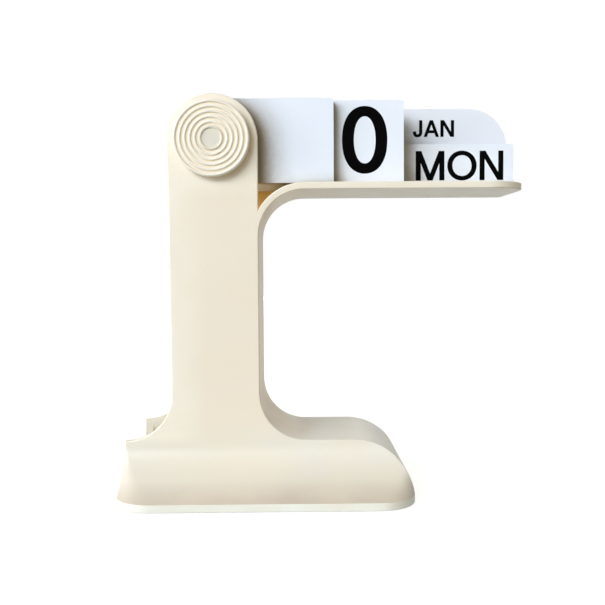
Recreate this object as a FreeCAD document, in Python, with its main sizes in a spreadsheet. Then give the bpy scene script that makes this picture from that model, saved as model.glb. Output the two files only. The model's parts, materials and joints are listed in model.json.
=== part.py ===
"""Perpetual desk calendar: a moulded stand that carries a stack of swinging date cards.

Frame: X to the right seen from the front, Y to the back, Z up. The origin is on the table,
under the middle of the calendar's width and depth. Outlines are drawn from the pivot axis,
and each finished piece is moved left so that the pivot stands at PIVOT_X.
"""
import FreeCAD, Part
import math
import os
import re

import Sketcher

SIZES = (
    # the moulded stand
    ("pivot_height", 146.6, "pivot axis above the table"),
    ("head_radius", 18.4, "round head of the column, and the column's right edge"),
    ("shoulder_width", 17.9, "column's left edge below the head"),
    ("shoulder_height", 124.0, "where the left edge starts to taper"),
    ("foot_width", 17.5, "column's left edge at its foot"),
    ("base_left", 36.8, "left end of the base from the pivot axis"),
    ("base_right", 81.0, "right end of the base from the pivot axis"),
    ("base_top", 24.2, "top of the base above the table"),
    ("nose_radius", 23.8, "rounded right end of the base"),
    ("bend_radius", 19.1, "inside bends of the web, at the base and under the shelf"),
    ("web_thickness", 2.9, "strip that makes the shelf, the web and the top of the base"),
    ("plate_thickness", 3.0, "front and rear plates"),
    ("shelf_reach", 128.9, "tip of the shelf from the pivot axis"),
    ("shelf_front_corner", 16.0, "plan radius of the tip's front corner"),
    ("shelf_rear_corner", 2.5, "plan radius of the tip's rear corner"),
    ("gusset_rise", 1.0, "top of the rear plate's gusset above the shelf, and the round of its end"),
    ("gusset_run", 3.0, "end of that gusset beyond the start of the bend"),
    ("flare_reach", 20.0, "how far each skirt flares out in front and behind"),
    ("flare_side", 2.5, "how far the left end flares out"),
    ("flare_top", 22.5, "height where the flare starts"),
    ("lip_height", 3.6, "top of the base plate, where the flare ends"),
    ("lip_corner", 15.0, "plan radius of the base plate's corners"),
    ("top_corner", 0.8, "plan radius of the corners where the flare starts"),
    ("end_wall_height", 14.0, "low wall that closes the left end of the base"),
    ("edge_round", 0.5, "rounded outline edges of the plates, the strip and the shelf"),
    ("plate_edge_round", 0.3, "rounded edges of the base plate"),
    ("rib_side_margin", 3.8, "room beside the locating rib, at the foot of the skirt's inner wall"),
    ("rib_end_margin", 1.1, "room between the rib and the end walls at their foot"),
    ("rib_width", 1.5, "width of the rib"),
    ("rib_height", 2.0, "height of the rib above the base plate"),
    # pivot
    ("pin_radius", 2.0, "pivot pin"),
    ("pin_clearance", 0.05, "running clearance round the pin"),
    ("pin_seat", 2.0, "length of the pin's ends inside the caps"),
    ("seat_clearance", 0.2, "room between the end of the pin and the bottom of its seat"),
    ("spacer_radius", 8.0, "washers at both ends of the card stack"),
    ("spacer_thickness", 1.8, "thickness of those washers"),
    ("cap_radius", 15.3, "ring caps over the pin"),
    ("cap_thickness", 3.8, "cap without its ridges"),
    ("ridge_radius", 0.65, "half-round ridges on the caps"),
    ("ridge_first", 4.4, "radius of the innermost ridge"),
    # cards
    ("card_height", 34.4, "height of a card and diameter of its round end"),
    ("card_thickness", 1.1, "thickness of a card"),
    ("card_gap", 0.125, "gap between two cards"),
    ("card_corner", 1.0, "small corner radius of the cards"),
    ("tens_reach", 49.3, "end of the tens cards from the pivot axis"),
    ("units_reach", 78.7, "end of the units cards"),
    ("weekday_reach", 127.6, "end of the weekday cards"),
    ("weekday_step", 72.0, "where the weekday cards step down"),
    ("weekday_rise", 0.7, "top of the weekday legend above the pivot axis"),
    ("month_reach", 126.7, "end of the month cards"),
    ("month_corner", 17.0, "large upper corner of the month cards"),
    # underside
    ("foot_proud", 0.4, "foot pads below the base plate"),
    ("foot_recess", 1.0, "depth of the recess that holds a pad"),
    ("foot_radius", 5.0, "foot pads"),
    ("foot_clearance", 0.1, "room round a pad in its recess"),
    ("screw_radius", 1.25, "shank of the base screws"),
    ("screw_length", 5.2, "length of the shank"),
    ("screw_head_radius", 2.4, "head of the base screws"),
    ("screw_head_height", 1.5, "height of the head"),
    ("screw_clearance", 0.08, "room round the screws"),
    ("screw_left", 24.0, "left pair of screws from the pivot axis"),
    ("screw_right", 60.0, "right pair of screws from the pivot axis"),
    ("screw_row", 27.5, "rows of screws from the middle of the depth"),
    ("boss_radius", 3.2, "bosses that take the screws"),
    ("boss_top", 9.6, "top of the bosses"),
)
TENS = ("blank", "1", "2", "3")
UNITS = tuple(str(digit) for digit in range(10))
WEEKDAYS = ("mon", "tue", "wed", "thu", "fri", "sat", "sun")
MONTHS = ("jan", "feb", "mar", "apr", "may", "jun", "jul", "aug", "sep", "oct", "nov", "dec")
RIDGES = 6
SKIRT_LEVELS = (0.0, 0.2, 0.4, 0.6, 0.8, 1.0)
CAVITY_LEVELS = (-0.06, 0.2, 0.4, 0.6, 0.8, 1.0)
FAR = 200.0
NEAR = 0.01

CARDS = len(TENS) + len(UNITS) + len(WEEKDAYS) + len(MONTHS)
CARD_PITCH = "(card_thickness + card_gap)"
HALF_CHANNEL = f"({CARDS} * {CARD_PITCH} / 2 + card_gap / 2 + spacer_thickness)"
HALF_DEPTH = f"({HALF_CHANNEL} + plate_thickness)"
HALF_CARD = "(card_height / 2)"
SHELF_TOP = f"(pivot_height - {HALF_CARD})"
SHELF_UNDER = f"({SHELF_TOP} - web_thickness)"
WEB_INSIDE = "(head_radius - web_thickness)"
BEND_X = "(head_radius + bend_radius)"
LOWER_BEND = "(base_top + bend_radius)"
UPPER_BEND = f"({SHELF_UNDER} - bend_radius)"
OUTER_BEND = "(bend_radius + web_thickness)"
MIDDLE_BEND = "(bend_radius + web_thickness / 2)"
NOSE_X = "(base_right - nose_radius)"
NOSE_Z = "(base_top - nose_radius)"
HEEL_RADIUS = "(base_left - foot_width)"
FLARE_HEIGHT = "(flare_top - lip_height)"
SCREW_SEAT = "(foot_proud + foot_recess)"
SCREW_TIP = f"({SCREW_SEAT} + screw_head_height + screw_length)"
FOOT_WALL = f"(plate_thickness * sqrt(1 + (2 * flare_reach / {FLARE_HEIGHT}) ^ 2))"
RIB_HALF = f"({HALF_DEPTH} + flare_reach - {FOOT_WALL} - rib_side_margin)"
RIB_INSET = "(plate_thickness + rib_end_margin)"
PIVOT_X = "(base_left + flare_side - shelf_reach) / 2"

doc = FreeCAD.newDocument("desk_calendar")
sheet = doc.addObject("Spreadsheet::Sheet", "Sizes")
ALIASES = {alias for alias, _, _ in SIZES}
for row, (alias, size, meaning) in enumerate(SIZES, start=1):
    sheet.set(f"A{row}", meaning)
    sheet.set(f"B{row}", str(size))
    sheet.setAlias(f"B{row}", alias)
doc.recompute()
probe = doc.addObject("App::FeaturePython", "Probe")


def full(text):
    """Put the sheet's name before each alias in an expression."""
    return re.sub(r"[a-z_]+", lambda word: f"Sizes.{word[0]}" if word[0] in ALIASES else word[0], text)


def value(text):
    """Number that an expression gives with the sheet's present sizes."""
    return float(probe.evalExpression(full(text)))


def bind(thing, prop, text):
    """Bind a property of an object to an expression."""
    thing.setExpression(prop, full(text))


def place(thing, x="0", y="0", z="0"):
    """Bind the position of an object to three expressions."""
    for axis, text in zip("xyz", (x, y, z)):
        bind(thing, f"Placement.Base.{axis}", text)


def finish(thing, label):
    """Name a finished piece and move it from the pivot's frame to the calendar's frame."""
    thing.Label = label
    moved = {prop: text for prop, text in thing.ExpressionEngine}
    here = moved.get(".Placement.Base.x", moved.get("Placement.Base.x", "0"))
    thing.setExpression("Placement.Base.x", f"{here} + {full(PIVOT_X)}")
    return thing


# ---------------------------------------------------------------- sketches
def fix_coordinate(sketch, kind, geometry, end, text):
    """Bind one coordinate of a point of the sketch to an expression."""
    number = value(text)
    if number < 0:
        index = sketch.addConstraint(Sketcher.Constraint(kind, geometry, end, -1, 1, -number))
        text = f"-({text})"
    else:
        index = sketch.addConstraint(Sketcher.Constraint(kind, -1, 1, geometry, end, number))
    bind(sketch, f"Constraints[{index}]", text)


def arc_through(start, end, radius, turn):
    """Arc from start to end, shorter than half a circle; turn is 1 to the left and -1 to the right."""
    chord = end - start
    middle = (start + end) * 0.5
    rise = math.sqrt(max(radius ** 2 - chord.Length ** 2 / 4, 0.0))
    side = FreeCAD.Vector(-chord.y, chord.x, 0).normalize() * turn
    centre = middle + side * rise
    top = centre - side * radius
    return Part.Arc(start, top, end), centre


def outline(sketch, start, steps):
    """Draw a closed outline from expressions: (x, y) is a line, (x, y, radius, turn) an arc."""
    corners = [start] + [step[:2] for step in steps[:-1]]
    points = [FreeCAD.Vector(value(x), value(y), 0) for x, y in corners]
    count = len(points)
    for index, step in enumerate(steps):
        here, there = points[index], points[(index + 1) % count]
        if len(step) == 2:
            sketch.addGeometry(Part.LineSegment(here, there), False)
            continue
        radius, turn = step[2:]
        arc, _ = arc_through(here, there, value(radius), turn)
        sketch.addGeometry(arc, False)
    first = {}
    last = {}
    for index, step in enumerate(steps):
        backwards = len(step) == 4 and step[3] < 0
        first[index], last[index] = (2, 1) if backwards else (1, 2)
    for index in range(count):
        nxt = (index + 1) % count
        sketch.addConstraint(Sketcher.Constraint("Coincident", index, last[index], nxt, first[nxt]))
    for index, (x, y) in enumerate(corners):
        fix_coordinate(sketch, "DistanceX", index, first[index], x)
        fix_coordinate(sketch, "DistanceY", index, first[index], y)
    for index, step in enumerate(steps):
        if len(step) == 4:
            number = sketch.addConstraint(Sketcher.Constraint("Radius", index, value(step[2])))
            bind(sketch, f"Constraints[{number}]", step[2])


def free_sketch(name, upright):
    """Sketch outside a body: upright in the XZ plane, or flat in the XY plane."""
    sketch = doc.addObject("Sketcher::SketchObject", name)
    if upright:
        sketch.Placement = FreeCAD.Placement(FreeCAD.Vector(), FreeCAD.Rotation(FreeCAD.Vector(1, 0, 0), 90))
    return sketch


def body_sketch(body, name, role):
    """Sketch on one of the body's own origin planes."""
    sketch = body.newObject("Sketcher::SketchObject", name)
    plane = next(item for item in body.Origin.OriginFeatures if item.Role == role)
    sketch.AttachmentSupport = [(plane, "")]
    sketch.MapMode = "FlatFace"
    return sketch


def rounded_plan(left, right, half, corner, far_corner=None):
    """Steps of a rectangle in plan from expressions, with its corners rounded."""
    far_corner = far_corner or corner
    start = (f"-({left}) + ({corner})", f"-({half})")
    steps = [
        (f"({right}) - ({corner})", f"-({half})"),
        (right, f"-({half}) + ({corner})", corner, 1),
        (right, f"({half}) - ({far_corner})"),
        (f"({right}) - ({far_corner})", half, far_corner, 1),
        (f"-({left}) + ({far_corner})", half),
        (f"-({left})", f"({half}) - ({far_corner})", far_corner, 1),
        (f"-({left})", f"-({half}) + ({corner})"),
        start + (corner, 1),
    ]
    return start, steps


# ---------------------------------------------------------------- solids
def extrude(name, sketch, length, direction, start="0"):
    """Extrude a free sketch along an axis, from a given start."""
    solid = doc.addObject("Part::Extrusion", name)
    solid.Base = sketch
    solid.DirMode = "Custom"
    solid.Dir = direction
    solid.Solid = True
    bind(solid, "LengthFwd", length)
    axis = "xyz"[[abs(part) > 0.5 for part in direction].index(True)]
    bind(solid, f"Placement.Base.{axis}", start)
    return solid


def box(name, x, y, z, length, width, height):
    """Box from a corner and three sizes, all expressions."""
    solid = doc.addObject("Part::Box", name)
    for prop, text in (("Length", length), ("Width", width), ("Height", height)):
        bind(solid, prop, text)
    place(solid, x, y, z)
    return solid


def cylinder(name, x, y, z, radius, height, along_y=False):
    """Cylinder from the middle of its lower or front face."""
    solid = doc.addObject("Part::Cylinder", name)
    if along_y:
        solid.Placement.Rotation = FreeCAD.Rotation(FreeCAD.Vector(1, 0, 0), -90)
    bind(solid, "Radius", radius)
    bind(solid, "Height", height)
    place(solid, x, y, z)
    return solid


def combine(kind, name, *members):
    """Boolean of two or more solids: Cut, Fuse or Common."""
    several = kind in ("Fuse", "Common") and len(members) > 2
    solid = doc.addObject(f"Part::Multi{kind}" if several else f"Part::{kind}", name)
    if several:
        solid.Shapes = list(members)
    else:
        solid.Base, solid.Tool = members
    solid.Refine = True
    return solid


def loft_of(name, levels, inside):
    """Skirt of the base as a loft through rounded rectangles, widest at the lip."""
    sections = []
    for number, level in enumerate(levels):
        open_part = f"(1 - {level})"
        spread = f"{open_part} ^ 2"
        slope = f"(2 * flare_reach / {FLARE_HEIGHT} * {open_part})"
        wall = f"plate_thickness * sqrt(1 + {slope} ^ 2)" if inside else "0"
        corner_wall = "plate_thickness" if inside else "0"
        half = f"{HALF_DEPTH} + flare_reach * {spread} - {wall}"
        left = f"base_left + flare_side * {spread} - {corner_wall}"
        right = f"base_right - {corner_wall}"
        corner = f"top_corner + (lip_corner - {corner_wall} - top_corner) * {spread}"
        sketch = free_sketch(f"{name}_section_{number}", upright=False)
        outline(sketch, *rounded_plan(left, right, half, corner))
        place(sketch, z=f"lip_height + {level} * {FLARE_HEIGHT}")
        sections.append(sketch)
    loft = doc.addObject("Part::Loft", name)
    loft.Sections = sections
    loft.Solid = True
    loft.Ruled = False
    return loft


def round_edges(name, solid, radius, chosen):
    """Round those edges of a solid that a rule picks, and what runs on smoothly from them."""
    doc.recompute()
    numbers = [number for number, edge in enumerate(solid.Shape.Edges, start=1) if chosen(edge)]
    rounded = doc.addObject("Part::Fillet", name)
    rounded.Base = solid
    rounded.Edges = [(number, value(radius), value(radius)) for number in numbers]
    return rounded


def outer_face_edge(edge):
    """True for an edge of the front or rear face of the stand, above the flare."""
    ends = [edge.valueAt(place_on) for place_on in edge.ParameterRange]
    half = value(HALF_DEPTH)
    on_face = all(abs(abs(point.y) - half) < NEAR for point in ends)
    return on_face and ends[0].y * ends[1].y > 0 and edge.CenterOfMass.z > value("flare_top") + NEAR


def smooth_seam(edge):
    """True for an upright edge, where two walls run into each other without a corner."""
    start, end = [edge.valueAt(place_on) for place_on in edge.ParameterRange]
    return abs(start.x - end.x) < NEAR and abs(start.y - end.y) < NEAR


def cross_seam(edge):
    """True for a straight edge right across the strip, at its foot or where a bend runs into a flat."""
    start, end = [edge.valueAt(place_on) for place_on in edge.ParameterRange]
    across = abs(start.x - end.x) < NEAR and abs(start.z - end.z) < NEAR
    return across and start.x < value(BEND_X) + NEAR


def foot_end(edge):
    """True for the short edges at the foot of the strip, inside the column."""
    return abs(edge.CenterOfMass.z - value(UPPER_BEND)) < NEAR


def gusset_edge(edge):
    """True for an edge of the gusset's rear face that stays free above the shelf."""
    ends = [edge.valueAt(place_on) for place_on in edge.ParameterRange]
    on_face = all(abs(point.y - value(HALF_DEPTH)) < NEAR for point in ends)
    return on_face and edge.CenterOfMass.z > value(SHELF_TOP) + NEAR


def shelf_edge(edge):
    """True for an edge of the strip's outline in plan, from the column to the tip and back."""
    return not (smooth_seam(edge) or cross_seam(edge) or foot_end(edge))


# ---------------------------------------------------------------- stand
def side_outline():
    """Outline of the base and the column seen from the front."""
    sketch = free_sketch("side_outline", upright=True)
    outline(sketch, ("-(base_left + flare_reach)", NOSE_Z), [
        ("base_right", NOSE_Z),
        (NOSE_X, "base_top", "nose_radius", 1),
        (BEND_X, "base_top"),
        ("head_radius", LOWER_BEND, "bend_radius", -1),
        ("head_radius", "pivot_height"),
        ("0", "pivot_height + head_radius", "head_radius", 1),
        ("-head_radius", "pivot_height", "head_radius", 1),
        ("-shoulder_width", "shoulder_height"),
        ("-foot_width", f"base_top + {HEEL_RADIUS}"),
        ("-base_left", "base_top", HEEL_RADIUS, -1),
        ("-(base_left + flare_reach)", "base_top"),
        ("-(base_left + flare_reach)", NOSE_Z),
    ])
    return sketch


def channel_outline():
    """Outline of the space between the plates, open to the left, the top and the bottom."""
    sketch = free_sketch("channel_outline", upright=True)
    nose_inside = "(nose_radius - web_thickness)"
    edge_height = f"{UPPER_BEND} + sqrt({OUTER_BEND} ^ 2 - bend_radius ^ 2)"
    outline(sketch, (f"-{FAR}", "-1"), [
        (f"{NOSE_X} + {nose_inside}", "-1"),
        (f"{NOSE_X} + {nose_inside}", NOSE_Z),
        (NOSE_X, "base_top - web_thickness", nose_inside, 1),
        (BEND_X, "base_top - web_thickness"),
        (WEB_INSIDE, LOWER_BEND, OUTER_BEND, -1),
        (WEB_INSIDE, UPPER_BEND),
        ("head_radius", edge_height, OUTER_BEND, -1),
        ("head_radius + card_height / 2", f"{FAR}"),
        (f"-{FAR}", f"{FAR}"),
        (f"-{FAR}", "-1"),
    ])
    return sketch


def strip_outline():
    """Outline of the strip seen from the front: it bends out of the column into the shelf."""
    sketch = free_sketch("strip_outline", upright=True)
    outline(sketch, (WEB_INSIDE, UPPER_BEND), [
        ("head_radius", UPPER_BEND),
        (BEND_X, SHELF_UNDER, "bend_radius", -1),
        ("shelf_reach", SHELF_UNDER),
        ("shelf_reach", SHELF_TOP),
        (BEND_X, SHELF_TOP),
        (WEB_INSIDE, UPPER_BEND, OUTER_BEND, 1),
    ])
    return sketch


def shelf_plan():
    """Plan of the strip: a large radius at the front of the shelf's tip and a small one behind."""
    sketch = free_sketch("shelf_plan", upright=False)
    outline(sketch, ("0", f"-{HALF_DEPTH}"), [
        ("shelf_reach - shelf_front_corner", f"-{HALF_DEPTH}"),
        ("shelf_reach", f"-{HALF_DEPTH} + shelf_front_corner", "shelf_front_corner", 1),
        ("shelf_reach", f"{HALF_DEPTH} - shelf_rear_corner"),
        ("shelf_reach - shelf_rear_corner", HALF_DEPTH, "shelf_rear_corner", 1),
        ("0", HALF_DEPTH),
        ("0", f"-{HALF_DEPTH}"),
    ])
    return sketch


def gusset_outline():
    """Outline of the gusset between the rear plate and the shelf, its foot inside the strip."""
    sketch = free_sketch("gusset_outline", upright=True)
    inside = f"({BEND_X} - {MIDDLE_BEND})"
    foot = f"({UPPER_BEND} + {MIDDLE_BEND})"
    end = f"({BEND_X} + gusset_run)"
    outline(sketch, (inside, UPPER_BEND), [
        (BEND_X, foot, MIDDLE_BEND, -1),
        (end, foot),
        (end, SHELF_TOP),
        (f"{end} - gusset_rise", f"{SHELF_TOP} + gusset_rise", "gusset_rise", 1),
        (inside, f"{SHELF_TOP} + gusset_rise"),
        (inside, UPPER_BEND),
    ])
    return sketch


def screw_places():
    """Names and positions of the four base screws and foot pads."""
    for side, x in (("left", "-screw_left"), ("right", "screw_right")):
        for depth, y in (("front", "-screw_row"), ("rear", "screw_row")):
            yield f"{depth}_{side}", x, y


def make_stand():
    """Stand: two plates joined on the right by one bent strip, hollow and open to the left."""
    wide = f"2 * ({HALF_DEPTH} + flare_reach + 1)"
    side = extrude("side_prism", side_outline(), wide, (0, 1, 0), f"-({wide}) / 2")
    skirt = loft_of("skirt", SKIRT_LEVELS, inside=False)
    upper = box("upper_block", "-base_left", f"-{HALF_DEPTH}", "flare_top",
                f"base_left + {FAR}", f"2 * {HALF_DEPTH}", f"{FAR}")
    envelope = combine("Fuse", "envelope", skirt, upper)
    moulding = combine("Common", "moulding", side, envelope)
    plates = round_edges("rounded_plates", moulding, "edge_round", outer_face_edge)
    bend = extrude("strip_prism", strip_outline(), wide, (0, 1, 0), f"-({wide}) / 2")
    plan = extrude("plan_prism", shelf_plan(), SHELF_TOP, (0, 0, 1))
    strip = combine("Common", "strip", bend, plan)
    shelf = round_edges("rounded_shelf", strip, "edge_round", shelf_edge)
    prism = extrude("gusset_prism", gusset_outline(), "plate_thickness", (0, 1, 0), HALF_CHANNEL)
    gusset = round_edges("rounded_gusset", prism, "edge_round", gusset_edge)
    outside = combine("Fuse", "outside", plates, shelf, gusset)

    channel = extrude("channel_prism", channel_outline(), wide, (0, 1, 0), f"-({wide}) / 2")
    hollow = loft_of("hollow", CAVITY_LEVELS, inside=True)
    slot = box("slot", f"-{FAR}", f"-{HALF_CHANNEL}", "end_wall_height",
               f"2 * {FAR}", f"2 * {HALF_CHANNEL}", f"{FAR}")
    inside = combine("Common", "inside", channel, combine("Fuse", "hollow_and_slot", hollow, slot))
    shell = combine("Cut", "shell", outside, inside)

    bosses = []
    pilots = []
    for name, x, y in screw_places():
        bosses.append(cylinder(f"boss_{name}", x, y, "lip_height", "boss_radius", "boss_top - lip_height"))
        pilots.append(cylinder(f"pilot_{name}", x, y, "0", "screw_radius + screw_clearance",
                               f"{SCREW_TIP} + seat_clearance"))
    bossed = combine("Fuse", "bossed", shell, *bosses)
    bore = cylinder("pivot_bore", "0", f"-{HALF_DEPTH} - 1", "pivot_height", "pin_radius + pin_clearance",
                    f"2 * {HALF_DEPTH} + 2", along_y=True)
    holes = combine("Fuse", "stand_holes", bore, *pilots)
    return finish(combine("Cut", "stand_drilled", bossed, holes), "stand")


# ---------------------------------------------------------------- underside
def make_rib():
    """Locating rib on the base plate, which drops inside the skirt."""
    walls = []
    for name, inward in (("rib_outside", "0"), ("rib_inside", "rib_width")):
        inset = f"({RIB_INSET} + {inward})"
        sketch = free_sketch(f"{name}_outline", upright=False)
        outline(sketch, *rounded_plan(f"base_left + flare_side - {inset}", f"base_right - {inset}",
                                      f"{RIB_HALF} - {inward}", f"lip_corner - {inset}"))
        walls.append(extrude(name, sketch, "rib_height + plate_edge_round", (0, 0, 1),
                             "lip_height - plate_edge_round"))
    return combine("Cut", "rib", *walls)


def make_base_plate():
    """Flat plate that closes the base, with recesses for the pads and holes for the screws."""
    sketch = free_sketch("base_plate_outline", upright=False)
    outline(sketch, *rounded_plan("base_left + flare_side", "base_right",
                                  f"{HALF_DEPTH} + flare_reach", "lip_corner"))
    flat = extrude("base_plate_flat", sketch, "lip_height - foot_proud", (0, 0, 1), "foot_proud")
    rounded = round_edges("base_plate_rounded", flat, "plate_edge_round", lambda edge: not smooth_seam(edge))
    blank = combine("Fuse", "base_plate_blank", rounded, make_rib())
    cuts = []
    for name, x, y in screw_places():
        cuts.append(cylinder(f"recess_{name}", x, y, "0", "foot_radius + foot_clearance", SCREW_SEAT))
        cuts.append(cylinder(f"counterbore_{name}", x, y, "0", "screw_head_radius + screw_clearance",
                             f"{SCREW_SEAT} + screw_head_height"))
        cuts.append(cylinder(f"hole_{name}", x, y, "0", "screw_radius + screw_clearance", "lip_height + 1"))
    drilled = combine("Cut", "base_plate_drilled", blank, combine("Fuse", "base_plate_cuts", *cuts))
    return finish(drilled, "base_plate")


def make_screw(name, x, y):
    """Base screw: a flat head with a plain shank."""
    head = cylinder(f"head_{name}", x, y, SCREW_SEAT, "screw_head_radius", "screw_head_height")
    shank = cylinder(f"shank_{name}", x, y, SCREW_SEAT, "screw_radius", f"{SCREW_TIP} - {SCREW_SEAT}")
    return finish(combine("Fuse", f"screw_{name}", head, shank), f"base_screw_{name}")


def make_foot(name, x, y):
    """Round foot pad, set in its recess and standing a little proud."""
    pad = cylinder(f"pad_{name}", x, y, "0", "foot_radius", SCREW_SEAT)
    return finish(pad, f"foot_pad_{name}")


# ---------------------------------------------------------------- pivot
def make_cap(name, front):
    """Cap over the end of the pin, turned about Y, with half-round ridges on its face."""
    body = doc.addObject("PartDesign::Body", name)
    sketch = body_sketch(body, f"{name}_profile", "XY_Plane")
    pitch = f"((cap_radius - ridge_radius - ridge_first) / {RIDGES - 1})"
    seat = "pin_seat + seat_clearance"
    bore = "pin_radius + pin_clearance"
    steps = [
        (bore, seat),
        ("0", seat),
        ("0", "cap_thickness"),
    ]
    for ridge in range(RIDGES):
        crest = f"ridge_first + {ridge} * {pitch}"
        steps += [
            (f"{crest} - ridge_radius", "cap_thickness"),
            (crest, "cap_thickness + ridge_radius", "ridge_radius", -1),
            (f"{crest} + ridge_radius", "cap_thickness", "ridge_radius", -1),
        ]
    steps += [("cap_radius", "0"), (bore, "0")]
    outline(sketch, (bore, "0"), steps)
    turned = body.newObject("PartDesign::Revolution", f"{name}_turned")
    turned.Profile = sketch
    turned.ReferenceAxis = (sketch, ["V_Axis"])
    turned.Angle = 360
    if front:
        body.Placement.Rotation = FreeCAD.Rotation(FreeCAD.Vector(0, 0, 1), 180)
    place(body, "0", f"-{HALF_DEPTH}" if front else HALF_DEPTH, "pivot_height")
    return finish(body, name)


def make_pin():
    """Pivot pin through both plates, the washers and every card."""
    length = f"2 * ({HALF_DEPTH} + pin_seat)"
    pin = cylinder("pin", "0", f"-({length}) / 2", "pivot_height", "pin_radius", length, along_y=True)
    return finish(pin, "pivot_pin")


def make_spacer(name, front_face):
    """Washer between a plate and the stack of cards."""
    ring = cylinder(f"{name}_ring", "0", front_face, "pivot_height", "spacer_radius",
                    "spacer_thickness", along_y=True)
    bore = cylinder(f"{name}_bore", "0", f"{front_face} - 1", "pivot_height",
                    "pin_radius + pin_clearance", "spacer_thickness + 2", along_y=True)
    return finish(combine("Cut", f"{name}_bored", ring, bore), name)


# ---------------------------------------------------------------- cards
def card_steps(reach, corner="card_corner", step_at=None, rise=None):
    """Outline of a card about the pivot: round end, straight edges and rounded corners."""
    top = rise or HALF_CARD
    steps = [
        (f"{reach} - card_corner", f"-{HALF_CARD}"),
        (reach, f"-{HALF_CARD} + card_corner", "card_corner", 1),
        (reach, f"{top} - {corner}"),
        (f"{reach} - {corner}", top, corner, 1),
    ]
    if step_at:
        steps += [
            (f"{step_at} + card_corner", top),
            (step_at, f"{top} + card_corner", "card_corner", -1),
            (step_at, f"{HALF_CARD} - card_corner"),
            (f"{step_at} - card_corner", HALF_CARD, "card_corner", 1),
        ]
    steps += [
        ("0", HALF_CARD),
        (f"-{HALF_CARD}", "0", HALF_CARD, 1),
        ("0", f"-{HALF_CARD}", HALF_CARD, 1),
    ]
    return ("0", f"-{HALF_CARD}"), steps


def make_card(name, order, shape):
    """One date card at its place in the stack, with the hole for the pin."""
    body = doc.addObject("PartDesign::Body", name)
    sketch = body_sketch(body, f"{name}_outline", "XZ_Plane")
    outline(sketch, *shape)
    hole = sketch.addGeometry(Part.Circle(FreeCAD.Vector(), FreeCAD.Vector(0, 0, 1),
                                          value("pin_radius + pin_clearance")), False)
    sketch.addConstraint(Sketcher.Constraint("Coincident", hole, 3, -1, 1))
    ring = sketch.addConstraint(Sketcher.Constraint("Radius", hole, value("pin_radius + pin_clearance")))
    bind(sketch, f"Constraints[{ring}]", "pin_radius + pin_clearance")
    pad = body.newObject("PartDesign::Pad", f"{name}_pad")
    pad.Profile = sketch
    pad.Reversed = True
    bind(pad, "Length", "card_thickness")
    place(body, "0", f"-{HALF_CHANNEL} + spacer_thickness + card_gap + {order} * {CARD_PITCH}",
          "pivot_height")
    return finish(body, name)


def make_cards():
    """The four groups of cards, from the front to the back."""
    groups = (
        ("tens", TENS, card_steps("tens_reach")),
        ("units", UNITS, card_steps("units_reach")),
        ("weekday", WEEKDAYS, card_steps("weekday_reach", step_at="weekday_step", rise="weekday_rise")),
        ("month", MONTHS, card_steps("month_reach", corner="month_corner")),
    )
    cards = []
    for group, members, shape in groups:
        for member in members:
            cards.append(make_card(f"card_{group}_{member}", len(cards), shape))
    return cards


# ---------------------------------------------------------------- assembly
parts = [
    make_stand(),
    make_base_plate(),
    make_pin(),
    make_cap("front_ring_cap", front=True),
    make_cap("rear_ring_cap", front=False),
    make_spacer("front_spacer", f"-{HALF_CHANNEL}"),
    make_spacer("rear_spacer", f"{HALF_CHANNEL} - spacer_thickness"),
]
for corner_name, corner_x, corner_y in screw_places():
    parts.append(make_screw(corner_name, corner_x, corner_y))
    parts.append(make_foot(corner_name, corner_x, corner_y))
parts += make_cards()
doc.recompute()

for thing in doc.Objects:
    if any(state in ("Invalid", "Error") for state in thing.State):
        raise RuntimeError(f"{thing.Label} failed: {thing.State}")
for part in parts:
    if part.Shape.isNull() or not part.Shape.isValid() or not part.Shape.Solids:
        raise RuntimeError(f"{part.Label} has no valid solid")

os.makedirs("parts", exist_ok=True)
for part in parts:
    part.Shape.exportStep(f"parts/{part.Label}.step")
    box_of = part.Shape.BoundBox
    print(f"{part.Label:24s} solids {len(part.Shape.Solids)} volume {part.Shape.Volume:10.1f} "
          f"X {box_of.XMin:7.2f} {box_of.XMax:7.2f} Y {box_of.YMin:7.2f} {box_of.YMax:7.2f} "
          f"Z {box_of.ZMin:7.2f} {box_of.ZMax:7.2f}")
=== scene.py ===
"""Studio scene of a perpetual desk calendar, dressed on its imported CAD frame.

The CAD nodes give every shape. This script gives their finish, the printed legends of the date
cards, the studio and the camera. Places and sizes are in metres, in the frame of the CAD model,
and in millimetres where a line says so.
"""

import json
import math

import bpy
from mathutils import Matrix, Vector


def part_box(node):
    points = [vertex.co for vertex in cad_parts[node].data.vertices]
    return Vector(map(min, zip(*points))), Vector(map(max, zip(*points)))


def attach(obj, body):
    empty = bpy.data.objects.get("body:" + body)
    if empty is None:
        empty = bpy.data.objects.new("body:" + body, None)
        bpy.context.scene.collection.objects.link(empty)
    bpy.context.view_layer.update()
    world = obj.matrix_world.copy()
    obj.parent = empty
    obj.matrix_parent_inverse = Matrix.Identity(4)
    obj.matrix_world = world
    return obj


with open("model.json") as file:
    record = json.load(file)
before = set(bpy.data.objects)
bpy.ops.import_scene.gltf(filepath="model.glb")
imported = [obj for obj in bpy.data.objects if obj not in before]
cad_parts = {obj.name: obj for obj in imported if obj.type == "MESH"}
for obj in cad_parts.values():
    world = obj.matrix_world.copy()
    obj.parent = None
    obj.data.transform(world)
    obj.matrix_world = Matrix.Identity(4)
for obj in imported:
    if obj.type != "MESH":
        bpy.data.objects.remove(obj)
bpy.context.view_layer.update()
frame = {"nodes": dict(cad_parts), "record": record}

MM = 0.001
NODES = frame["nodes"]
SLOT_OF = {part["node"]: part["material_slot"] for part in frame["record"]["subparts"]}


def middle(node):
    """Middle of a node's box at rest."""
    low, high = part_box(node)
    return (low + high) / 2


PIVOT = middle("pivot_pin")


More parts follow.
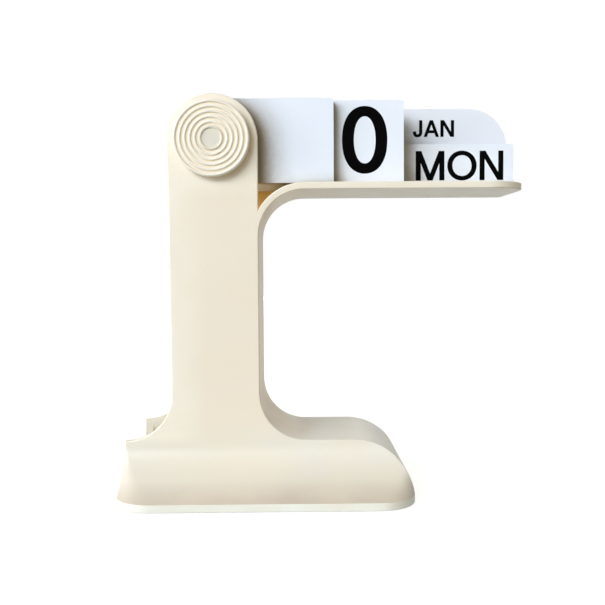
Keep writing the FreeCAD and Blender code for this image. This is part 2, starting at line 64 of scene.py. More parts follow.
def into_scene(name, data):
    """New object with this mesh, light or camera, linked to the scene."""
    thing = bpy.data.objects.new(name, data)
    bpy.context.scene.collection.objects.link(thing)
    return thing


# ---------------------------------------------------------------- node trees
def srgb(red, green, blue):
    """Linear colour from 8-bit sRGB values."""
    linear = []
    for part in (red, green, blue):
        share = part / 255
        linear.append(share / 12.92 if share <= 0.04045 else ((share + 0.055) / 1.055) ** 2.4)
    return (*linear, 1.0)


class Nodes:
    """Short ways to add nodes to a node tree and to join them."""

    def __init__(self, tree):
        self.tree = tree

    def node(self, kind, **settings):
        made = self.tree.nodes.new(kind)
        for key, setting in settings.items():
            setattr(made, key, setting)
        return made

    def link(self, source, target):
        self.tree.links.new(source, target)

    def place(self, kind="Object"):
        """Position on the object in metres, or Generated, the direction in the world."""
        return self.node("ShaderNodeTexCoord").outputs[kind]

    def part(self, vector, axis):
        """One axis of a vector."""
        split = self.node("ShaderNodeSeparateXYZ")
        self.link(vector, split.inputs["Vector"])
        return split.outputs[axis]

    def maths(self, operation, first, second):
        """Outcome of an operation on two values."""
        made = self.node("ShaderNodeMath", operation=operation)
        self.link(first, made.inputs[0])
        self.link(second, made.inputs[1])
        return made.outputs["Value"]

    def both(self, first, second):
        """Product of two values."""
        return self.maths("MULTIPLY", first, second)

    def fit(self, source, low, high, start, stop, **settings):
        """Stretch a value from start..stop to low..high, and hold it there outside."""
        fitted = self.node("ShaderNodeMapRange", **settings)
        fitted.inputs["From Min"].default_value = start
        fitted.inputs["From Max"].default_value = stop
        fitted.inputs["To Min"].default_value = low
        fitted.inputs["To Max"].default_value = high
        self.link(source, fitted.inputs["Value"])
        return fitted.outputs["Result"]

    def vector(self, operation, source, other=None):
        """Vector node that works on a source, with a constant as its second vector."""
        made = self.node("ShaderNodeVectorMath", operation=operation)
        self.link(source, made.inputs[0])
        if other is not None:
            made.inputs[1].default_value = other
        return made


NOISE_LOW, NOISE_HIGH = 0.3, 0.7      # where most of a noise's values lie
OCCLUSION_RAYS = 16


class Shader(Nodes):
    """Builds one material around a Principled shader. All its lengths are in millimetres."""

    def __init__(self, name):
        self.material = bpy.data.materials.new(name)
        self.material.use_nodes = True
        super().__init__(self.material.node_tree)
        self.surface = self.tree.nodes["Principled BSDF"]

    def noise(self, grain, detail=3.0, stretch=(1.0, 1.0, 1.0)):
        """Noise whose lumps are about a grain across."""
        mapping = self.node("ShaderNodeMapping")
        mapping.inputs["Scale"].default_value = [part / (grain * MM) for part in stretch]
        self.link(self.place(), mapping.inputs["Vector"])
        noise = self.node("ShaderNodeTexNoise")
        noise.inputs["Scale"].default_value = 1.0
        noise.inputs["Detail"].default_value = detail
        self.link(mapping.outputs["Vector"], noise.inputs["Vector"])
        return noise.outputs["Fac"]

    def blend(self, factor, first, second):
        """Mix two colours or colour outputs by a factor."""
        mix = self.node("ShaderNodeMix", data_type="RGBA")
        self.link(factor, mix.inputs[0])
        for socket, colour in ((mix.inputs[6], first), (mix.inputs[7], second)):
            if isinstance(colour, tuple):
                socket.default_value = colour
            else:
                self.link(colour, socket)
        return mix.outputs[2]

    def mottle(self, grain, strength, first, second):
        """First colour with soft clouds of the second, up to a strength."""
        clouds = self.fit(self.noise(grain), 0.0, strength, NOISE_LOW, NOISE_HIGH)
        return self.blend(clouds, first, second)

    def nearness(self, distance, closed, free, lean=None):
        """Mask of painted shade and glow: 1 in corners that are closed up to a distance, 0 in the
        open.

        Closed and free are the open shares at which it reaches 1 and 0. A lean turns the
        look-out to one side, so that walls on that side count most.
        """
        occlusion = self.node("ShaderNodeAmbientOcclusion", samples=OCCLUSION_RAYS)
        occlusion.inputs["Distance"].default_value = distance * MM
        if lean is not None:
            normal = self.node("ShaderNodeNewGeometry").outputs["Normal"]
            turned = self.vector("ADD", normal, lean).outputs["Vector"]
            level = self.vector("NORMALIZE", turned).outputs["Vector"]
            self.link(level, occlusion.inputs["Normal"])
        return self.fit(occlusion.outputs["AO"], 1.0, 0.0, closed, free)

    def along(self, axis, start, stop):
        """0 before one place on an axis and 1 after another."""
        return self.fit(self.part(self.place(), axis), 0.0, 1.0, start * MM, stop * MM)

    def before(self, axis, start, stop):
        """1 before one place on an axis and 0 after another."""
        return self.fit(self.part(self.place(), axis), 1.0, 0.0, start * MM, stop * MM)

    def above(self, low, high):
        """0 below a height and 1 above another."""
        return self.along("Z", low, high)

    def from_pivot(self, near, far):
        """0 near the pivot axis and 1 away from it, between two distances."""
        away = self.vector("SUBTRACT", self.place(), PIVOT).outputs["Vector"]
        flat = self.vector("MULTIPLY", away, (1.0, 0.0, 1.0)).outputs["Vector"]
        length = self.vector("LENGTH", flat).outputs["Value"]
        return self.fit(length, 0.0, 1.0, near * MM, far * MM)

    def colour(self, tone):
        self.link(tone, self.surface.inputs["Base Color"])

    def gloss(self, grain, low, high):
        """Roughness that wanders between two values."""
        rough = self.fit(self.noise(grain), low, high, NOISE_LOW, NOISE_HIGH)
        self.link(rough, self.surface.inputs["Roughness"])

    def set(self, socket, number):
        """Constant on one of the shader's own sockets."""
        self.surface.inputs[socket].default_value = number

    def bump(self, height, depth, strength):
        """Bump from a height map."""
        bump = self.node("ShaderNodeBump")
        bump.inputs["Strength"].default_value = strength
        bump.inputs["Distance"].default_value = depth * MM
        self.link(height, bump.inputs["Height"])
        self.link(bump.outputs["Normal"], self.surface.inputs["Normal"])


# ---------------------------------------------------------------- materials
LEFT = (-1.2, 0.0, 0.6)               # lean towards the side that the main light comes from
PLASTIC_IOR = 1.5
SHEET_IOR = 1.46
INK_IOR = 1.4
FINE_GRAIN = 0.35                     # millimetres

CREAM = srgb(235, 227, 208)
# painted shade: the foot of the stand's flaring skirt darker, where it faces upwards
FOOT_SHADE_TONE = srgb(204, 193, 177)
LIP_TONE = srgb(243, 247, 237)
HEAD_TONE = srgb(238, 233, 217)
# painted light: lighter towards the left of the stand above the base, as lit from the left
LEFT_LIGHT_TONE = srgb(242, 239, 223)
# painted light: the skirt's right side cooler and less yellow, as under cooler light from the right
RIGHT_COOL_LIGHT_TONE = srgb(230, 231, 226)
CLOUD_TONE = srgb(231, 223, 200)
SPECKLE_TONE = srgb(219, 209, 186)
# painted warm shade in corners and hollows, from low to high on the stand
CORNER_SHADE_TONES = srgb(214, 184, 128), srgb(224, 207, 168)     # low and high on the stand
# painted shadow, tight beside the ring caps and in narrow corners
CONTACT_SHADOW_TONE = srgb(200, 164, 112)
# painted glow: warm light far inside the channel below the shelf
PAINTED_GLOW_TONES = srgb(255, 228, 172), srgb(255, 206, 110)       # low and high in the channel
# Painted shade up the stand: between two heights in millimetres, the tone turns into a colour,
# darker towards the foot where the skirt flares and faces upwards.
PAINTED_SHADING_BY_HEIGHT = ((4, 10, srgb(223, 219, 204)), (13, 19, srgb(225, 224, 211)), (21, 33, CREAM))


def moulded_plastic(name, foot):
    """Cream moulded plastic, satin with very fine grain, another tone at its foot, and painted
    light and shade: the skirt darker towards its foot and cooler on its right, the stand lighter on
    the left, warm shade in corners and beside the caps, and a warm glow far inside the channel.
    """
    shader = Shader(name)
    tone = foot
    # painted shade: darker towards the foot of the skirt, up to the plain cream
    for low, high, colour in PAINTED_SHADING_BY_HEIGHT:
        tone = shader.blend(shader.above(low, high), tone, colour)
    # painted light: the skirt cooler towards its right, as under cooler light from that side
    skirt = shader.both(shader.above(8, 20), shader.before("Z", 22, 32))
    painted_cool_right = shader.both(shader.along("X", -45, 45), skirt)
    tone = shader.blend(painted_cool_right, tone, RIGHT_COOL_LIGHT_TONE)
    head = shader.above(123, 129)
    tone = shader.blend(head, tone, HEAD_TONE)
    # painted light: the stand lighter towards its left, above the top of the base
    painted_left_light = shader.both(shader.before("X", -63, -48), shader.above(22, 26))
    tone = shader.blend(painted_left_light, tone, LEFT_LIGHT_TONE)

    tone = shader.mottle(22, 0.5, tone, CLOUD_TONE)
    speckle = shader.fit(shader.noise(1.1, detail=1.0), 0.0, 0.35, 0.70, 0.80)
    tone = shader.blend(speckle, tone, SPECKLE_TONE)

    # painted warm shade in the corners, kept off the floor and off the head round the pivot
    clear_of_floor = shader.above(2, 16)
    corner = shader.both(shader.nearness(26, 0.22, 0.74, LEFT), shader.from_pivot(18, 27))
    corner_shade_tone = shader.blend(shader.above(60, 110), *CORNER_SHADE_TONES)
    tone = shader.blend(shader.both(corner, clear_of_floor), tone, corner_shade_tone)
    # painted shadow beside the ring caps and in narrow corners
    contact_shadow = shader.nearness(5, 0.20, 0.66, LEFT)
    tone = shader.blend(shader.both(contact_shadow, clear_of_floor), tone, CONTACT_SHADOW_TONE)
    # painted glow far inside the channel, below the shelf
    painted_glow = shader.both(shader.nearness(45, 0.24, 0.54), shader.above(78, 112))
    painted_glow_tone = shader.blend(shader.above(108, 128), *PAINTED_GLOW_TONES)
    shader.colour(shader.blend(painted_glow, tone, painted_glow_tone))

    shader.gloss(9, 0.34, 0.44)
    shader.set("IOR", PLASTIC_IOR)
    shader.bump(shader.noise(FINE_GRAIN, detail=2.0), 0.004, 0.6)
    return shader.material


DISC_TONE = srgb(214, 212, 197)
RING_TONE = srgb(240, 237, 225)
RING_CLOUD_TONE = srgb(233, 228, 212)
# painted warm shade in the grooves between the ridges
GROOVE_SHADE_TONE = srgb(238, 218, 174)


def cap_plastic():
    """Cream plastic of the ring caps: a greyer disc in the middle, and painted warm shade in the
    grooves.
    """
    shader = Shader("cap_cream_plastic")
    tone = shader.blend(shader.from_pivot(4.5, 5.5), DISC_TONE, RING_TONE)
    tone = shader.mottle(9, 0.4, tone, RING_CLOUD_TONE)
    # painted shade in the grooves between the ridges
    shader.colour(shader.blend(shader.nearness(2.2, 0.3, 0.9), tone, GROOVE_SHADE_TONE))
    shader.gloss(6, 0.32, 0.42)
    shader.set("IOR", PLASTIC_IOR)
    shader.bump(shader.noise(FINE_GRAIN, detail=2.0), 0.004, 0.6)
    return shader.material


SHEET_CLOUD_TONE = srgb(222, 230, 240)
STEP_SHADE_TONE = srgb(158, 149, 127)
# Sheet plastics: white, painted shade beside a step, and the open shares at full shade and at none.
# The tens copy has a darker painted shadow of the stand's plate, and the month copy's white is
# greyer: painted shade, further back in the stack.
SHEETS = {
    "white": (srgb(234, 243, 252), STEP_SHADE_TONE, 0.22, 0.44),
    "tens": (srgb(231, 241, 251), srgb(137, 125, 102), 0.46, 0.73),
    "month": (srgb(231, 237, 245), STEP_SHADE_TONE, 0.26, 0.47),
}


def sheet_plastic(kind):
    """Cool white sheet plastic of the date cards, with painted shade beside the steps of the stack.
    """
    white, shade, closed, free = SHEETS[kind]
    shader = Shader(f"{kind}_sheet_plastic")
    tone = shader.mottle(16, 0.15, white, SHEET_CLOUD_TONE)
    # painted shade beside the steps of the card stack
    shader.colour(shader.blend(shader.nearness(16, closed, free, LEFT), tone, shade))
    shader.gloss(5, 0.40, 0.52)
    shader.set("IOR", SHEET_IOR)
    shader.bump(shader.noise(0.6, detail=2.0), 0.004, 0.5)
    return shader.material


def spacer_plastic():
    """Natural milky nylon of the washers."""
    shader = Shader("natural_nylon")
    shader.colour(shader.mottle(3, 1.0, srgb(232, 227, 214), srgb(222, 215, 198)))
    shader.set("Roughness", 0.38)
    shader.bump(shader.noise(0.3), 0.004, 0.5)
    return shader.material


def steel():
    """Zinc-plated steel of the pin and the screws, with fine turning marks."""
    shader = Shader("zinc_plated_steel")
    shader.colour(shader.mottle(2, 1.0, srgb(196, 199, 202), srgb(178, 180, 184)))
    shader.set("Metallic", 1.0)
    shader.gloss(0.5, 0.24, 0.38)
    shader.bump(shader.noise(0.25, stretch=(1.0, 0.05, 1.0)), 0.003, 0.6)
    return shader.material


def pad_rubber():
    """Pale grey silicone rubber of the foot pads."""
    shader = Shader("foot_pad_rubber")
    shader.colour(shader.mottle(1.5, 1.0, srgb(208, 206, 200), srgb(198, 196, 189)))
    shader.set("Roughness", 0.62)
    shader.bump(shader.noise(0.4, detail=4.0), 0.02, 0.7)
    return shader.material


def ink():
    """Screen-printed black of the legends, with a slightly uneven gloss."""
    shader = Shader("printed_black")
    shader.colour(shader.mottle(1.2, 1.0, srgb(3, 3, 4), srgb(8, 8, 9)))
    shader.gloss(0.8, 0.42, 0.55)
    shader.set("IOR", INK_IOR)
    shader.set("Specular IOR Level", 0.02)
    return shader.material


# ---------------------------------------------------------------- finish of the CAD nodes
BEVELS = {                            # widths by material slot, in millimetres
    "card_plastic": 0.12,
    "steel": 0.10,
    "spacer_plastic": 0.15,
    "pad_rubber": 0.20,
}
BEVEL_SEGMENTS = 2
SMOOTH_BELOW = math.radians(32)


def dress_nodes():
    """Give every CAD node its material, and soften the edges that CAD leaves sharp."""
    caps = cap_plastic()
    finishes = {                      # by node, by kind of node or by material slot
        "front_ring_cap": caps,
        "rear_ring_cap": caps,
        "base_plate": moulded_plastic("lip_cream_plastic", LIP_TONE),
        "card_tens": sheet_plastic("tens"),
        "card_month": sheet_plastic("month"),
        "stand_plastic": moulded_plastic("stand_cream_plastic", FOOT_SHADE_TONE),
        "card_plastic": sheet_plastic("white"),
        "spacer_plastic": spacer_plastic(),
        "steel": steel(),
        "pad_rubber": pad_rubber(),
    }
    for name, node in NODES.items():
        slot = SLOT_OF[name]
        kind = name.rpartition("_")[0]
        key = next(key for key in (name, kind, slot) if key in finishes)
        node.data.materials.clear()
        node.data.materials.append(finishes[key])
        if slot in BEVELS:
            bevel = node.modifiers.new("softened_edges", "BEVEL")
            bevel.width = BEVELS[slot] * MM
            bevel.segments = BEVEL_SEGMENTS
            bevel.limit_method = "ANGLE"
            bevel.angle_limit = SMOOTH_BELOW
            bevel.harden_normals = False


# ---------------------------------------------------------------- lettering
# Centre lines of a plain sans alphabet, in units of the letter's height: the letter's width, and
# its strokes. M starts a stroke, L is a straight run and C a curve; D is a slanting bar that is
# cut level at both ends.
GLYPHS = {
    "A": (0.88, "D .085 0 .44 1 D .795 0 .44 1 M .20 .31 L .68 .31"),
    "B": (0.69, "M .08 0 L .08 1 M .08 .93 L .36 .93 C .61 .93 .61 .53 .36 .53 L .08 .53 "
                "M .36 .53 C .69 .53 .69 .07 .36 .07 L .08 .07"),
    "C": (0.85, "M .77 .68 C .71 .85 .60 .93 .45 .93 C .22 .93 .08 .76 .08 .50 "
                "C .08 .24 .22 .07 .45 .07 C .62 .07 .73 .17 .78 .35"),
    "D": (0.78, "M .08 0 L .08 1 M .08 .93 L .32 .93 C .57 .93 .70 .78 .70 .50 "
                "C .70 .22 .57 .07 .32 .07 L .08 .07"),
    "E": (0.64, "M .08 0 L .08 1 M .08 .93 L .62 .93 M .08 .53 L .58 .53 M .08 .07 L .64 .07"),
    "F": (0.61, "M .08 0 L .08 1 M .08 .93 L .61 .93 M .08 .50 L .53 .50"),
    "G": (0.88, "M .77 .70 C .71 .86 .60 .93 .45 .93 C .22 .93 .08 .76 .08 .50 "
                "C .08 .24 .22 .07 .45 .07 C .66 .07 .79 .20 .80 .46 M .47 .46 L .88 .46 "
                "M .80 0 L .80 .50"),
    "H": (0.75, "M .08 0 L .08 1 M .67 0 L .67 1 M .08 .53 L .67 .53"),
    "I": (0.16, "M .08 0 L .08 1"),
    "J": (0.52, "M .44 1 L .44 .30 C .44 .14 .37 .07 .25 .07 C .13 .07 .08 .15 .08 .33"),
    "L": (0.58, "M .08 0 L .08 1 M .08 .07 L .58 .07"),
    "M": (0.93, "M .08 0 L .08 1 M .85 0 L .85 1 D .465 0 .095 1 D .465 0 .835 1"),
    "N": (0.77, "M .08 0 L .08 1 M .69 0 L .69 1 D .675 0 .095 1"),
    "O": (0.95, "M .475 .93 C .25 .93 .08 .75 .08 .50 C .08 .25 .25 .07 .475 .07 "
                "C .70 .07 .87 .25 .87 .50 C .87 .75 .70 .93 .475 .93"),
    "P": (0.66, "M .08 0 L .08 1 M .08 .93 L .36 .93 C .66 .93 .66 .44 .36 .44 L .08 .44"),
    "R": (0.71, "M .08 0 L .08 1 M .08 .93 L .36 .93 C .66 .93 .66 .47 .36 .47 L .08 .47 "
                "D .62 0 .41 .47"),
    "S": (0.66, "M .57 .71 C .55 .86 .47 .93 .33 .93 C .18 .93 .10 .85 .10 .74 "
                "C .10 .61 .20 .57 .33 .53 C .48 .49 .58 .43 .58 .28 C .58 .14 .48 .07 .33 .07 "
                "C .17 .07 .09 .15 .07 .31"),
    "T": (0.66, "M 0 .93 L .66 .93 M .33 0 L .33 .93"),
    "U": (0.73, "M .08 1 L .08 .36 C .08 .16 .19 .07 .365 .07 C .54 .07 .65 .16 .65 .36 L .65 1"),
    "V": (0.80, "D .40 0 .085 1 D .40 0 .715 1"),
    "W": (1.16, "D .33 0 .085 1 D .33 0 .58 1 D .83 0 .58 1 D .83 0 1.075 1"),
    "Y": (0.80, "D .40 .40 .085 1 D .40 .40 .715 1 M .40 0 L .40 .44"),
    "0": (0.70, "M .35 .93 C .19 .93 .083 .77 .083 .50 C .083 .23 .19 .07 .35 .07 "
                "C .51 .07 .617 .23 .617 .50 C .617 .77 .51 .93 .35 .93"),
    "1": (0.70, "M .43 0 L .43 1 M .13 .745 C .28 .76 .37 .83 .40 .98"),
    "2": (0.70, "M .09 .64 C .09 .84 .19 .93 .35 .93 C .51 .93 .61 .84 .61 .70 "
                "C .61 .52 .46 .45 .31 .34 C .19 .25 .12 .19 .10 .05 M .02 .07 L .68 .07"),
    "3": (0.70, "M .09 .69 C .10 .85 .20 .93 .34 .93 C .49 .93 .59 .85 .59 .73 "
                "C .59 .60 .49 .53 .28 .53 M .28 .53 C .52 .53 .62 .45 .62 .30 "
                "C .62 .15 .51 .07 .34 .07 C .18 .07 .08 .16 .07 .33"),
    "4": (0.70, "M .52 0 L .52 1 M .01 .29 L .70 .29 D .09 .28 .50 1"),
    "5": (0.70, "M .60 .93 L .17 .93 D .122 .45 .172 1 M .10 .50 C .16 .58 .24 .62 .34 .62 "
                "C .51 .62 .62 .51 .62 .35 C .62 .18 .51 .07 .34 .07 C .19 .07 .09 .15 .07 .29"),
    "6": (0.70, "M .60 .72 C .57 .86 .48 .93 .36 .93 C .18 .93 .088 .76 .088 .40 M .352 .61 "
                "C .20 .61 .088 .50 .088 .34 C .088 .18 .20 .07 .352 .07 "
                "C .50 .07 .616 .18 .616 .34 C .616 .50 .50 .61 .352 .61"),
    "7": (0.70, "M .05 .93 L .66 .93 M .588 .92 C .43 .68 .29 .38 .27 0"),
    "8": (0.70, "M .35 .93 C .21 .93 .125 .85 .125 .74 C .125 .62 .22 .54 .35 .54 "
                "C .48 .54 .575 .62 .575 .74 C .575 .85 .49 .93 .35 .93 M .35 .54 "
                "C .18 .54 .085 .44 .085 .31 C .085 .16 .19 .07 .35 .07 "
                "C .51 .07 .615 .16 .615 .31 C .615 .44 .52 .54 .35 .54"),
    "9": (0.70, "M .10 .28 C .13 .14 .22 .07 .34 .07 C .52 .07 .612 .24 .612 .60 M .348 .39 "
                "C .50 .39 .612 .50 .612 .66 C .612 .82 .50 .93 .348 .93 "
                "C .20 .93 .084 .82 .084 .66 C .084 .50 .20 .39 .348 .39"),
}
NUMBERS_AFTER = {"M": 2, "L": 2, "C": 6, "D": 4}
SAME_POINT = 1e-6                     # a stroke whose ends are nearer than this is closed
CURVE_STEPS = 14
SLANT_WEIGHT = 0.96                   # slanting bars are drawn a little thinner
LEAST_BEND = 0.5                      # keeps the corner of a sharp bend from shooting out
HALF_DEPTH = 0.05                     # of a letter's solid, before it is printed flat
INK_THICKNESS = 0.02 * MM


def strokes_of(text):
    """Strokes of a glyph: lists of points, and slanting bars as ("D", foot, head)."""
    words = text.split()
    strokes = []
    at = 0
    while at < len(words):
        kind = words[at]
        count = NUMBERS_AFTER[kind]
        numbers = [float(word) for word in words[at + 1:at + 1 + count]]
        points = [Vector(numbers[index:index + 2]) for index in range(0, count, 2)]
        at += 1 + count
        if kind == "M":
            strokes.append([points[0]])
        elif kind == "L":
            strokes[-1].append(points[0])
        elif kind == "D":
            strokes.append(("D", *points))
        else:
            start = strokes[-1][-1]
            for step in range(1, CURVE_STEPS + 1):
                share = step / CURVE_STEPS
                rest = 1 - share
                strokes[-1].append(start * rest ** 3 + points[0] * 3 * rest ** 2 * share
                                   + points[1] * 3 * rest * share ** 2 + points[2] * share ** 3)
    return strokes


def sides_of(stroke, stem, thin):
    """Left and right outline of a stroke; stem and thin are its widths upright and level."""
    if stroke[0] == "D":
        foot, head = stroke[1:]
        lean = abs(head.x - foot.x) / (head.y - foot.y)
        half = Vector((stem / 2 * math.sqrt(1 + lean ** 2) * SLANT_WEIGHT, 0))
        return [foot - half, head - half], [foot + half, head + half], False
    closed = (stroke[0] - stroke[-1]).length < SAME_POINT
    points = stroke[:-1] if closed else stroke
    left, right = [], []
    for index, point in enumerate(points):
        runs = []
        if index or closed:
            runs.append((point - points[index - 1]).normalized())
        if index + 1 < len(points) or closed:
            runs.append((points[(index + 1) % len(points)] - point).normalized())
        along = (runs[0] + runs[-1]).normalized()
        across = Vector((-along.y, along.x)) / max(along.dot(runs[0]), LEAST_BEND)
        half = Vector((across.x * stem / 2, across.y * thin / 2))
        left.append(point + half)
        right.append(point - half)
    return left, right, closed


def stroke_solid(name, stroke, stem, thin):
    """Thin solid of one stroke in the XZ plane, in units of the letter's height."""
    left, right, closed = sides_of(stroke, stem, thin)
    count = len(left)
    vertices = []
    for side in (left, right):
        for level in (-HALF_DEPTH, HALF_DEPTH):
            vertices += [(point.x, level, point.y) for point in side]
    near_left, far_left, near_right, far_right = (number * count for number in range(4))
    faces = []
    for index in range(count if closed else count - 1):
        following = (index + 1) % count
        for one, two in ((near_left, near_right), (near_right, far_right),
                         (far_right, far_left), (far_left, near_left)):
            faces.append((one + index, one + following, two + following, two + index))
    if not closed:
        last = count - 1
        faces.append((near_left, near_right, far_right, far_left))
        faces.append((near_left + last, far_left + last, far_right + last, near_right + last))
    mesh = bpy.data.meshes.new(name)
    mesh.from_pydata(vertices, [], faces)
    mesh.validate()
    thing = into_scene(name, mesh)
    bpy.context.view_layer.objects.active = thing
    bpy.ops.object.select_all(action="DESELECT")
    thing.select_set(True)
    bpy.ops.object.mode_set(mode="EDIT")
    bpy.ops.mesh.select_all(action="SELECT")
    bpy.ops.mesh.normals_make_consistent(inside=False)
    bpy.ops.object.mode_set(mode="OBJECT")
    return thing


def glyph_mesh(letter, stem, thin):
    """One letter as vertices and faces, its strokes joined into one clean solid."""
    parts = [stroke_solid(f"stroke_{number}", stroke, stem, thin)
             for number, stroke in enumerate(strokes_of(GLYPHS[letter][1]))]
    whole = parts[0]
    for part in parts[1:]:
        union = whole.modifiers.new("union", "BOOLEAN")
        union.operation = "UNION"
        union.solver = "EXACT"
        union.object = part
    bpy.context.view_layer.update()
    joined = whole.evaluated_get(bpy.context.evaluated_depsgraph_get()).to_mesh()
    vertices = [vertex.co.copy() for vertex in joined.vertices]
    faces = [tuple(face.vertices) for face in joined.polygons]
    for part in parts:
        mesh = part.data
        bpy.data.objects.remove(part)
        bpy.data.meshes.remove(mesh)
    return vertices, faces


class Lettering:
    """A height, stretch and weight of lettering that prints words on the cards.

    Height, stem, thin and spacing are in millimetres; thin is the width of level strokes.
    """

    def __init__(self, height, stretch, stem, thin, spacing):
        self.height = height * MM
        self.width = self.height * stretch
        self.stem = stem * MM / self.width
        self.thin = thin * MM / self.height
        self.spacing = spacing * MM / self.width
        self.made = {}

    def glyph(self, letter):
        if letter not in self.made:
            self.made[letter] = glyph_mesh(letter, self.stem, self.thin)
        return self.made[letter]

    def print_on(self, name, card, word, left, foot, material):
        """Print a word on a card's front face; left and foot are places in the frame."""
        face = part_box(card)[0].y
        vertices, faces = [], []
        advance = 0.0
        for letter in word:
            points, polygons = self.glyph(letter)
            first = len(vertices)
            for point in points:
                proud = INK_THICKNESS if point.y < 0 else 0.0
                vertices.append((left + (advance + point.x) * self.width, face - proud,
                                 foot + point.z * self.height))
            faces += [tuple(index + first for index in polygon) for polygon in polygons]
            advance += GLYPHS[letter][0] + self.spacing
        mesh = bpy.data.meshes.new(name)
        mesh.from_pydata(vertices, [], faces)
        mesh.materials.append(material)
        legend = into_scene(name, mesh)
        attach(legend, card)


DIGITS = Lettering(27.5, 0.95, 4.9, 4.25, 0.0)
WEEKDAYS = Lettering(12.6, 1.05, 2.2, 1.95, 1.35)
MONTHS = Lettering(7.3, 1.04, 1.42, 1.28, 0.75)
LEGENDS = {
    # lettering, and the legend's left edge and foot from the pivot axis, in millimetres
    "tens": (DIGITS, 24.6, -12.9),
    "units": (DIGITS, 53.3, -12.9),
    "weekday": (WEEKDAYS, 85.5, -14.8),
    "month": (MONTHS, 85.6, 5.1),
}
BARE = "blank"                        # the card without a legend


def print_legends():
    """Print the legend of every date card, which the card's name ends with."""
    material = ink()
    for name in NODES:
        words = name.split("_")
        if words[0] != "card" or words[2] == BARE:
            continue
        style, left, foot = LEGENDS[words[1]]
        style.print_on(f"legend_{words[1]}_{words[2]}", name, words[2].upper(),
                       PIVOT.x + left * MM, PIVOT.z + foot * MM, material)


# ---------------------------------------------------------------- studio
WHITE = (1, 1, 1, 1)
WORLD_TONE = srgb(255, 247, 226)
WORLD_LIGHT = (0.335, 0.40)           # light of the surround at the horizon and overhead
WORLD_RISE = (0.1, 0.8)               # heights of the direction between which it rises
WORLD_SIDES = (1.25, 0.42)            # share of that light from the left and from the right
FLOOR_HALF = 3.0                      # half of its side
FLOOR_PAINT = (0.305, 0.312, 0.29, 1)
FLOOR_LIFT = (0.88, 1.0)              # what whitens the floor near the object and far from it
FLOOR_FADE = (0.16, 0.60)             # distances from the object between which it fades


def studio_rays(nodes):
    """1 for rays that should see the white background: camera, gloss and transmission."""
    path = nodes.node("ShaderNodeLightPath").outputs
    seen = nodes.maths("MAXIMUM", path["Is Camera Ray"], path["Is Glossy Ray"])
    return nodes.maths("MAXIMUM", seen, path["Is Transmission Ray"])


def make_world():
    """Even surround, white where it is seen and dimmer where it lights the object."""
    world = bpy.data.worlds.new("studio")
    bpy.context.scene.world = world
    world.use_nodes = True
    nodes = Nodes(world.node_tree)
    nodes.tree.nodes.clear()
    seen, light = (nodes.node("ShaderNodeBackground") for _ in range(2))
    seen.inputs["Color"].default_value = WHITE
    light.inputs["Color"].default_value = WORLD_TONE
    direction = nodes.place("Generated")
    rise = nodes.fit(nodes.part(direction, "Z"), *WORLD_LIGHT, *WORLD_RISE)
    sides = nodes.fit(nodes.part(direction, "X"), *WORLD_SIDES, -1.0, 1.0)
    nodes.link(nodes.both(rise, sides), light.inputs["Strength"])
    mix = nodes.node("ShaderNodeMixShader")
    nodes.link(studio_rays(nodes), mix.inputs["Fac"])
    nodes.link(light.outputs[0], mix.inputs[1])
    nodes.link(seen.outputs[0], mix.inputs[2])
    nodes.link(mix.outputs[0], nodes.node("ShaderNodeOutputWorld").inputs["Surface"])


def make_floor():
    """Plain pale floor that keeps the object's shadow and fades into the white surround."""
    mesh = bpy.data.meshes.new("floor")
    corners = [(x * FLOOR_HALF, y * FLOOR_HALF, 0) for x, y in ((-1, -1), (1, -1), (1, 1), (-1, 1))]
    mesh.from_pydata(corners, [], [(0, 1, 2, 3)])
    floor = into_scene("floor", mesh)
    material = bpy.data.materials.new("pale_floor")
    material.use_nodes = True
    nodes = Nodes(material.node_tree)
    nodes.tree.nodes.clear()
    paint = nodes.node("ShaderNodeBsdfDiffuse")
    paint.inputs["Color"].default_value = FLOOR_PAINT
    away = nodes.vector("LENGTH", nodes.place()).outputs["Value"]
    fade = nodes.fit(away, *FLOOR_LIFT, *FLOOR_FADE, interpolation_type="SMOOTHSTEP")
    lift = nodes.node("ShaderNodeEmission")
    nodes.link(nodes.both(studio_rays(nodes), fade), lift.inputs["Strength"])
    total = nodes.node("ShaderNodeAddShader")
    nodes.link(paint.outputs[0], total.inputs[0])
    nodes.link(lift.outputs[0], total.inputs[1])
    nodes.link(total.outputs[0], nodes.node("ShaderNodeOutputMaterial").inputs["Surface"])
    mesh.materials.append(material)


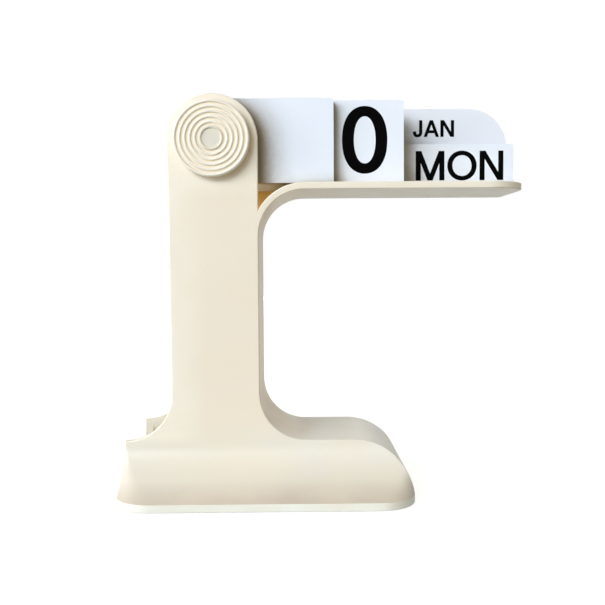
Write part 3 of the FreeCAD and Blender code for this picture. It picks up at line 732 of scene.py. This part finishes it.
OBJECT_MIDDLE = (0.0, 0.0, 0.09)
COOL, NEUTRAL, WARM = srgb(244, 246, 255), srgb(250, 250, 250), srgb(255, 252, 246)
LIGHTS = (
    # name, place, aim, width, height, watts and colour: large key and side lights from the left,
    # a weak fill from the right, two lights from behind and a small low one before the base
    ("key", (-1.16, -1.64, 1.00), OBJECT_MIDDLE, 1.50, 0.80, 37.3, COOL),
    ("side", (-1.90, -0.75, 0.50), OBJECT_MIDDLE, 0.80, 0.80, 16.3, COOL),
    ("fill", (0.90, -1.60, 0.40), OBJECT_MIDDLE, 1.20, 1.20, 2.2, NEUTRAL),
    ("back", (0.80, 1.80, 0.95), OBJECT_MIDDLE, 1.40, 1.00, 4.5, WARM),
    ("rear", (-0.70, 1.80, 0.10), OBJECT_MIDDLE, 1.20, 0.20, 13.0, srgb(252, 252, 255)),
    ("low_fill", (0.12, -0.30, 0.03), (0.04, -0.05, 0.02), 0.10, 0.04, 0.07, WARM),
)
WITHOUT_GLARE = "rear"                # its glare would whiten the top of the base


def make_lights():
    """Rectangular soft lights, each turned to its aim."""
    for name, place, aim, width, height, watts, colour in LIGHTS:
        data = bpy.data.lights.new(name, "AREA")
        data.shape = "RECTANGLE"
        data.size = width
        data.size_y = height
        data.energy = watts
        data.color = colour[:3]
        light = into_scene(name, data)
        light.location = place
        turn = (Vector(aim) - Vector(place)).to_track_quat("-Z", "Y")
        light.rotation_euler = turn.to_euler()
        light.visible_glossy = name != WITHOUT_GLARE


# ---------------------------------------------------------------- camera
SENSOR = 36.0                         # width in millimetres
IMAGE = 605                           # width in pixels
FOCAL_PIXELS = 814.17
CAMERA_PLACE = Vector((0.03286, -0.35565, 0.09646))     # x from the pivot axis, z from the table
CLIP_START = 0.01
PITCH, YAW, ROLL = (math.radians(angle) for angle in (-2.754, -0.56, 0.385))


def make_camera():
    """Camera at the photograph's place, height and angle."""
    data = bpy.data.cameras.new("camera")
    data.sensor_width = SENSOR
    data.lens = FOCAL_PIXELS * SENSOR / IMAGE
    data.clip_start = CLIP_START
    camera = into_scene("camera", data)
    turn = (Matrix.Rotation(YAW, 3, "Z") @ Matrix.Rotation(PITCH, 3, "X")
            @ Matrix.Rotation(ROLL, 3, "Y"))
    right, forward, up = turn.col
    axes = Matrix((right, up, -forward)).transposed().to_4x4()
    place = CAMERA_PLACE + Vector((PIVOT.x, 0, 0))
    camera.matrix_world = Matrix.Translation(place) @ axes
    bpy.context.scene.camera = camera


dress_nodes()
print_legends()
make_world()
make_floor()
make_lights()
make_camera()
bpy.context.scene.view_settings.view_transform = "Standard"
